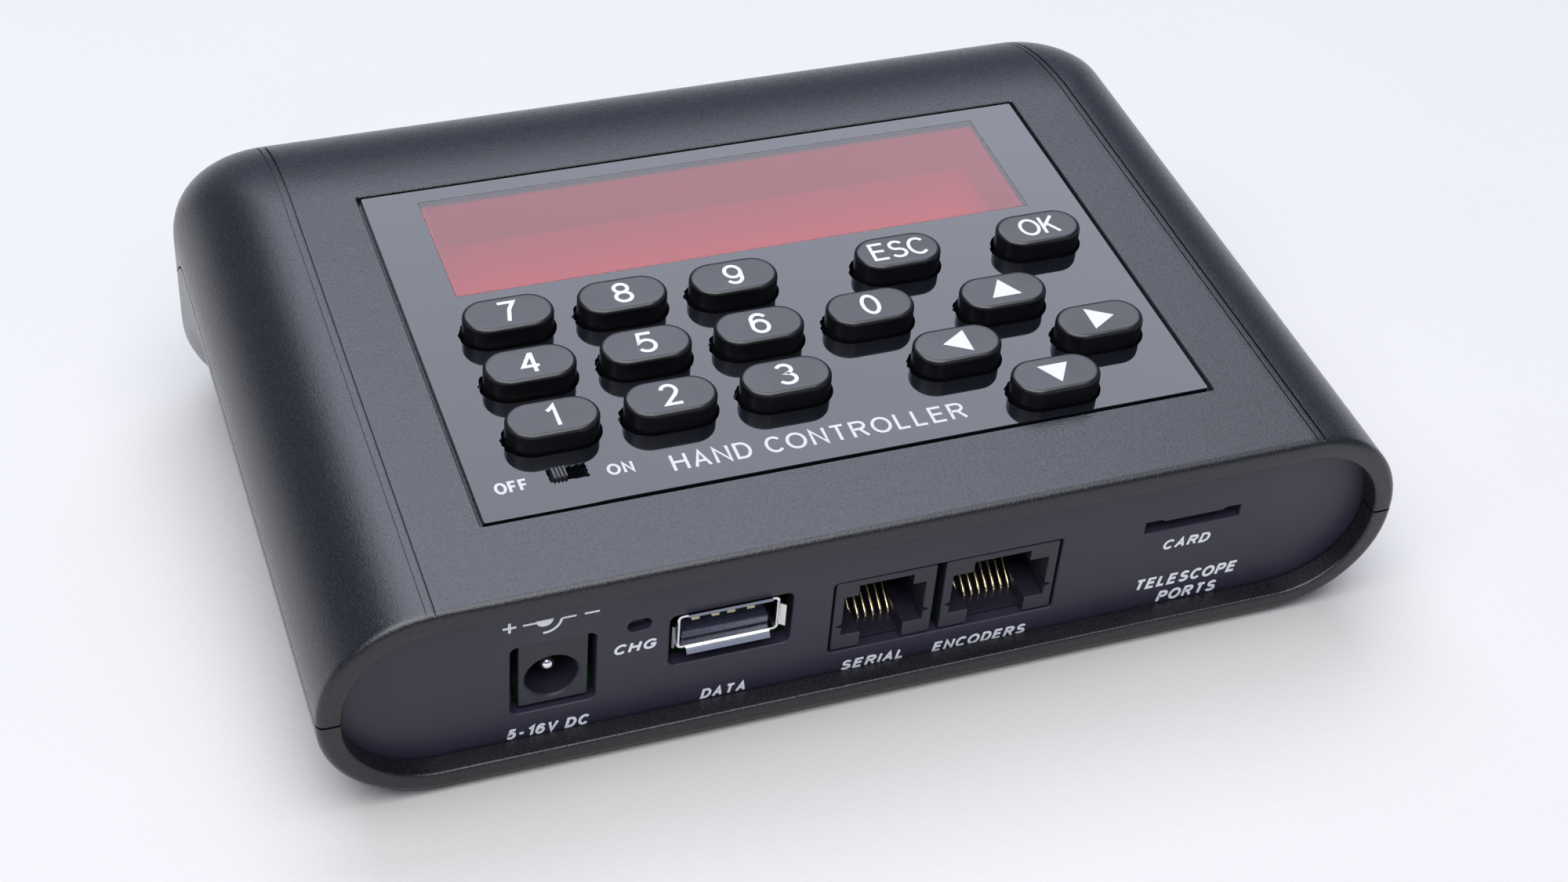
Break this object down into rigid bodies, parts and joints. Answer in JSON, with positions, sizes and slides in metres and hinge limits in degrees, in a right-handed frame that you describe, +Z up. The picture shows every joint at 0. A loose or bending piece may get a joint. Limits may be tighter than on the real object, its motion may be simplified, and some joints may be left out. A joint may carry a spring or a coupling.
{
  "type": "telescope hand controller",
  "caption": "Tabletop telescope hand controller: leaning two-part plastic case, pill-shaped keys, red display window, slide switch and a row of ports in front.",
  "frame": {"origin": "on the table surface under the middle of the overall box, at the lowest points of the rubber feet", "axes": "+X along the port side to the right, +Y from the port panel to the rear, +Z up from the table"},
  "size_m": [0.1396, 0.109, 0.0417],
  "materials": {
    "case_plastic": "fine leather-grain moulded texture",
    "panel_plastic": "fine matt moulding",
    "overlay_sheet": "glossy printed label film",
    "red_window": "clear red filter",
    "keycap": "satin",
    "circuit_board": "solder mask",
    "display_glass": "polished",
    "black_plastic": "satin",
    "steel": "tin plated",
    "gold": "gold plated",
    "rubber": "matt",
    "tongue_plastic": "satin",
    "light_lens": "clear",
    "cell_wrap": "shrink sleeve"
  },
  "bodies": {
    "case": {"battery_cell_1": "cell_wrap", "battery_cell_2": "cell_wrap", "battery_holder": "black_plastic", "board_screw_1": "steel", "board_screw_2": "steel", "board_screw_3": "steel", "board_screw_4": "steel", "bottom_shell": "case_plastic", "card_board": "circuit_board", "card_socket": "steel", "case_screw_1": "steel", "case_screw_2": "steel", "case_screw_3": "steel", "case_screw_4": "steel", "charge_light": "light_lens", "display_board": "circuit_board", "display_glass": "display_glass", "display_panel": "black_plastic", "display_window": "red_window", "encoder_contacts": "gold", "encoder_jack": "black_plastic", "foot_1": "rubber", "foot_2": "rubber", "foot_3": "rubber", "foot_4": "rubber", "keypad_board": "circuit_board", "keypad_overlay": "overlay_sheet", "main_board": "circuit_board", "port_panel": "panel_plastic", "power_jack": "black_plastic", "power_jack_pin": "steel", "power_switch_body": "black_plastic", "serial_contacts": "gold", "serial_jack": "black_plastic", "top_shell": "case_plastic", "usb_shell": "steel", "usb_tongue": "tongue_plastic"},
    "key_1": {"key_1": "keycap"},
    "key_2": {"key_2": "keycap"},
    "key_3": {"key_3": "keycap"},
    "key_4": {"key_4": "keycap"},
    "key_5": {"key_5": "keycap"},
    "key_6": {"key_6": "keycap"},
    "key_7": {"key_7": "keycap"},
    "key_8": {"key_8": "keycap"},
    "key_9": {"key_9": "keycap"},
    "key_0": {"key_0": "keycap"},
    "key_esc": {"key_esc": "keycap"},
    "key_ok": {"key_ok": "keycap"},
    "key_up": {"key_up": "keycap"},
    "key_down": {"key_down": "keycap"},
    "key_left": {"key_left": "keycap"},
    "key_right": {"key_right": "keycap"},
    "power_slider": {"power_switch_knob": "keycap"}
  },
  "joints": [
    {"name": "key_1_press", "type": "slide", "parent": "case", "child": "key_1", "axis": [0, 0.1468, -0.9892], "range_m": [0, 0.0005], "stiffness_N_per_m": 600, "springref_m": -0.001},
    {"name": "key_2_press", "type": "slide", "parent": "case", "child": "key_2", "axis": [0, 0.1468, -0.9892], "range_m": [0, 0.0005], "stiffness_N_per_m": 600, "springref_m": -0.001},
    {"name": "key_3_press", "type": "slide", "parent": "case", "child": "key_3", "axis": [0, 0.1468, -0.9892], "range_m": [0, 0.0005], "stiffness_N_per_m": 600, "springref_m": -0.001},
    {"name": "key_4_press", "type": "slide", "parent": "case", "child": "key_4", "axis": [0, 0.1468, -0.9892], "range_m": [0, 0.0005], "stiffness_N_per_m": 600, "springref_m": -0.001},
    {"name": "key_5_press", "type": "slide", "parent": "case", "child": "key_5", "axis": [0, 0.1468, -0.9892], "range_m": [0, 0.0005], "stiffness_N_per_m": 600, "springref_m": -0.001},
    {"name": "key_6_press", "type": "slide", "parent": "case", "child": "key_6", "axis": [0, 0.1468, -0.9892], "range_m": [0, 0.0005], "stiffness_N_per_m": 600, "springref_m": -0.001},
    {"name": "key_7_press", "type": "slide", "parent": "case", "child": "key_7", "axis": [0, 0.1468, -0.9892], "range_m": [0, 0.0005], "stiffness_N_per_m": 600, "springref_m": -0.001},
    {"name": "key_8_press", "type": "slide", "parent": "case", "child": "key_8", "axis": [0, 0.1468, -0.9892], "range_m": [0, 0.0005], "stiffness_N_per_m": 600, "springref_m": -0.001},
    {"name": "key_9_press", "type": "slide", "parent": "case", "child": "key_9", "axis": [0, 0.1468, -0.9892], "range_m": [0, 0.0005], "stiffness_N_per_m": 600, "springref_m": -0.001},
    {"name": "key_0_press", "type": "slide", "parent": "case", "child": "key_0", "axis": [0, 0.1468, -0.9892], "range_m": [0, 0.0005], "stiffness_N_per_m": 600, "springref_m": -0.001},
    {"name": "key_esc_press", "type": "slide", "parent": "case", "child": "key_esc", "axis": [0, 0.1468, -0.9892], "range_m": [0, 0.0005], "stiffness_N_per_m": 600, "springref_m": -0.001},
    {"name": "key_ok_press", "type": "slide", "parent": "case", "child": "key_ok", "axis": [0, 0.1468, -0.9892], "range_m": [0, 0.0005], "stiffness_N_per_m": 600, "springref_m": -0.001},
    {"name": "key_up_press", "type": "slide", "parent": "case", "child": "key_up", "axis": [0, 0.1468, -0.9892], "range_m": [0, 0.0005], "stiffness_N_per_m": 600, "springref_m": -0.001},
    {"name": "key_down_press", "type": "slide", "parent": "case", "child": "key_down", "axis": [0, 0.1468, -0.9892], "range_m": [0, 0.0005], "stiffness_N_per_m": 600, "springref_m": -0.001},
    {"name": "key_left_press", "type": "slide", "parent": "case", "child": "key_left", "axis": [0, 0.1468, -0.9892], "range_m": [0, 0.0005], "stiffness_N_per_m": 600, "springref_m": -0.001},
    {"name": "key_right_press", "type": "slide", "parent": "case", "child": "key_right", "axis": [0, 0.1468, -0.9892], "range_m": [0, 0.0005], "stiffness_N_per_m": 600, "springref_m": -0.001},
    {"name": "power_slide", "type": "slide", "parent": "case", "child": "power_slider", "axis": [1, 0, 0], "range_m": [0, 0.0022]}
  ]
}
